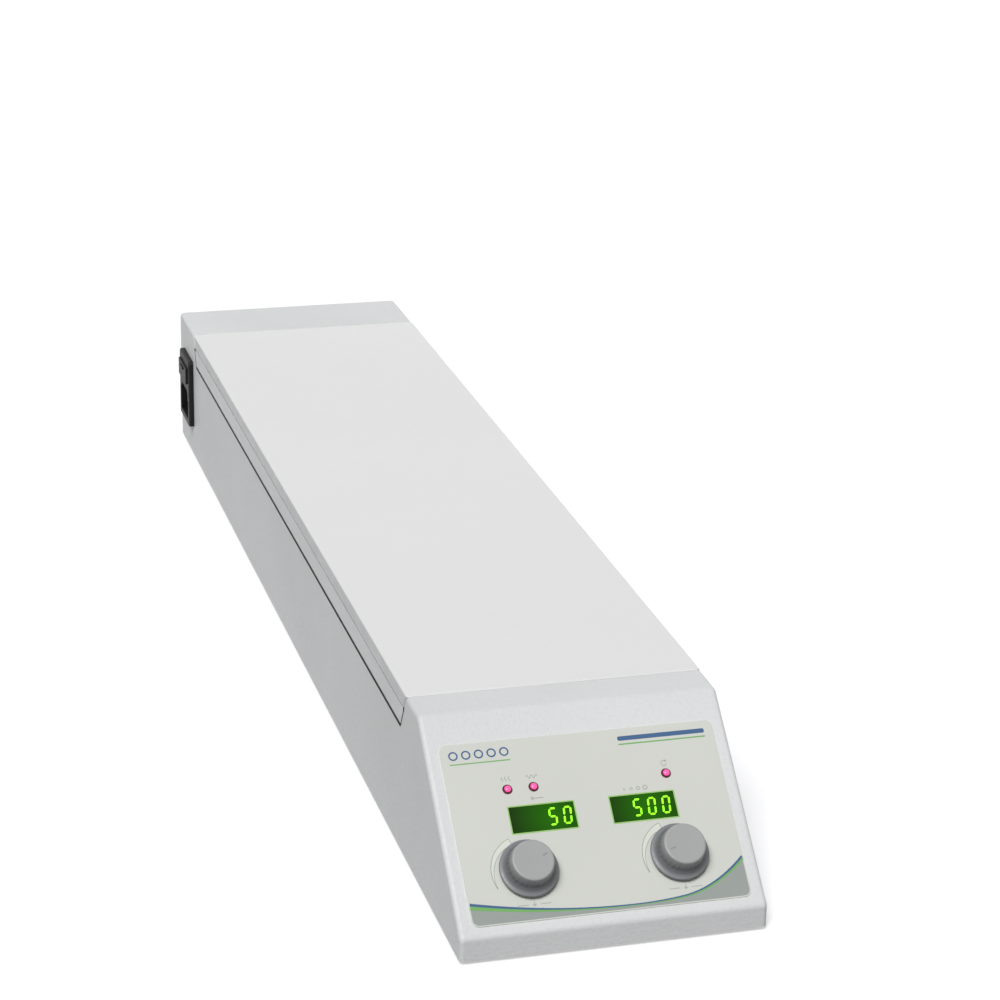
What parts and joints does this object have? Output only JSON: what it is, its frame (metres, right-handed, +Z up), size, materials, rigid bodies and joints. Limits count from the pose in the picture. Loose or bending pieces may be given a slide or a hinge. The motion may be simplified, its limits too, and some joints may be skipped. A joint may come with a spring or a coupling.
{
  "type": "multi-position hotplate stirrer",
  "caption": "Long bench hotplate stirrer: white heating plate over belt-driven stirring magnets, sloped console with push-and-turn knobs, displays and lamps.",
  "frame": {"origin": "on the bench, at the middle of the housing's footprint", "axes": "+X across to the right, +Y from the console to the rear, +Z up"},
  "size_m": [0.1342, 0.6677, 0.0765],
  "materials": {
    "housing_paint": "fine textured light grey paint",
    "tray_paint": "fine textured light grey paint",
    "plate_coat": "smooth white ceramic coat",
    "rubber": "matt black rubber",
    "zinc": "zinc-plated steel",
    "ceramic": "unglazed ceramic",
    "heater_foil": "foil-faced mica",
    "insulation": "mineral fibre board",
    "steel": "ground steel",
    "overlay_film": "satin printed film",
    "window_green": "dark green tinted lens",
    "display_dark": "dark display module",
    "lamp_pink": "lit red lamp",
    "board_green": "solder-masked board",
    "nylon": "natural nylon",
    "knob_grey": "satin mid-grey plastic",
    "black_plastic": "black moulded plastic",
    "brass": "nickel-flashed brass",
    "fuse_glass": "clear glass with metal ends",
    "loom_sleeve": "black sleeved wires",
    "aluminium": "turned aluminium",
    "belt_rubber": "black rubber belt",
    "carrier_plastic": "glass-filled nylon",
    "magnet_nickel": "nickel-plated magnet"
  },
  "bodies": {
    "instrument": {"housing": "housing_paint", "base_cover": "housing_paint", "base_cover_screws": "zinc", "rubber_feet": "rubber", "heating_plate": "plate_coat", "plate_tray": "tray_paint", "tray_screws": "zinc", "plate_studs": "zinc", "plate_spacers": "ceramic", "heater_element": "heater_foil", "insulation_board": "insulation", "temperature_sensor": "steel", "thermal_cutout": "steel", "control_overlay": "overlay_film", "temperature_window": "window_green", "speed_window": "window_green", "display_modules": "display_dark", "indicator_lamps": "lamp_pink", "control_board": "board_green", "board_spacers": "nylon", "encoder_bodies": "black_plastic", "encoder_nuts": "zinc", "power_inlet": "black_plastic", "inlet_contacts": "brass", "switch_frame": "black_plastic", "power_board": "board_green", "wiring_loom": "loom_sleeve", "motor_deck": "zinc", "deck_posts": "zinc", "deck_screws": "zinc", "bearing_housings": "aluminium", "spindle_bearings": "steel", "drive_motor": "steel", "drive_belts": "belt_rubber"},
    "temperature_push": {"temperature_plunger": "nylon"},
    "temperature_dial": {"temperature_knob": "knob_grey", "temperature_shaft": "steel"},
    "speed_push": {"speed_plunger": "nylon"},
    "speed_dial": {"speed_knob": "knob_grey", "speed_shaft": "steel"},
    "fuse_carrier": {"fuse_drawer": "black_plastic", "fuse_cartridge": "fuse_glass"},
    "power_rocker": {"switch_rocker": "black_plastic"},
    "motor_rotor": {"motor_shaft": "steel", "motor_pulley": "aluminium"},
    "stir_rotor_1": {"stir_spindle_1": "steel", "magnet_carrier_1": "carrier_plastic", "stir_magnets_1": "magnet_nickel"},
    "stir_rotor_2": {"stir_spindle_2": "steel", "magnet_carrier_2": "carrier_plastic", "stir_magnets_2": "magnet_nickel"},
    "stir_rotor_3": {"stir_spindle_3": "steel", "magnet_carrier_3": "carrier_plastic", "stir_magnets_3": "magnet_nickel"},
    "stir_rotor_4": {"stir_spindle_4": "steel", "magnet_carrier_4": "carrier_plastic", "stir_magnets_4": "magnet_nickel"},
    "stir_rotor_5": {"stir_spindle_5": "steel", "magnet_carrier_5": "carrier_plastic", "stir_magnets_5": "magnet_nickel"}
  },
  "joints": [
    {"name": "temperature_knob_push", "type": "slide", "parent": "instrument", "child": "temperature_push", "axis": [0, 0.6635, -0.7482], "range_m": [0, 0.001], "stiffness_N_per_m": 1500, "springref_m": -0.001},
    {"name": "temperature_knob_turn", "type": "hinge", "parent": "temperature_push", "child": "temperature_dial", "pos_m": [-0.032, -0.31255, 0.02875], "axis": [0, -0.6635, 0.7482], "continuous": true},
    {"name": "speed_knob_push", "type": "slide", "parent": "instrument", "child": "speed_push", "axis": [0, 0.6635, -0.7482], "range_m": [0, 0.001], "stiffness_N_per_m": 1500, "springref_m": -0.001},
    {"name": "speed_knob_turn", "type": "hinge", "parent": "speed_push", "child": "speed_dial", "pos_m": [0.032, -0.31255, 0.02875], "axis": [0, -0.6635, 0.7482], "continuous": true},
    {"name": "fuse_drawer_slide", "type": "slide", "parent": "instrument", "child": "fuse_carrier", "axis": [-1, 0, 0], "range_m": [0, 0.022]},
    {"name": "power_switch_rock", "type": "hinge", "parent": "instrument", "child": "power_rocker", "pos_m": [0.02, 0.3315, 0.0465], "axis": [1, 0, 0], "range_deg": [-16, 0]},
    {"name": "motor_spin", "type": "hinge", "parent": "instrument", "child": "motor_rotor", "pos_m": [0, -0.24508, 0.03], "axis": [0, 0, 1], "continuous": true},
    {"name": "stir_spin_1", "type": "hinge", "parent": "instrument", "child": "stir_rotor_1", "pos_m": [0, -0.18708, 0.03], "axis": [0, 0, 1], "continuous": true},
    {"name": "stir_spin_2", "type": "hinge", "parent": "instrument", "child": "stir_rotor_2", "pos_m": [0, -0.08204, 0.03], "axis": [0, 0, 1], "continuous": true},
    {"name": "stir_spin_3", "type": "hinge", "parent": "instrument", "child": "stir_rotor_3", "pos_m": [0, 0.023, 0.03], "axis": [0, 0, 1], "continuous": true},
    {"name": "stir_spin_4", "type": "hinge", "parent": "instrument", "child": "stir_rotor_4", "pos_m": [0, 0.12804, 0.03], "axis": [0, 0, 1], "continuous": true},
    {"name": "stir_spin_5", "type": "hinge", "parent": "instrument", "child": "stir_rotor_5", "pos_m": [0, 0.23308, 0.03], "axis": [0, 0, 1], "continuous": true}
  ],
  "couplings": [
    {"joint": "motor_spin", "follows": "stir_spin_1", "ratio": 1.5},
    {"joint": "stir_spin_2", "follows": "stir_spin_1", "ratio": 1},
    {"joint": "stir_spin_3", "follows": "stir_spin_1", "ratio": 1},
    {"joint": "stir_spin_4", "follows": "stir_spin_1", "ratio": 1},
    {"joint": "stir_spin_5", "follows": "stir_spin_1", "ratio": 1}
  ]
}
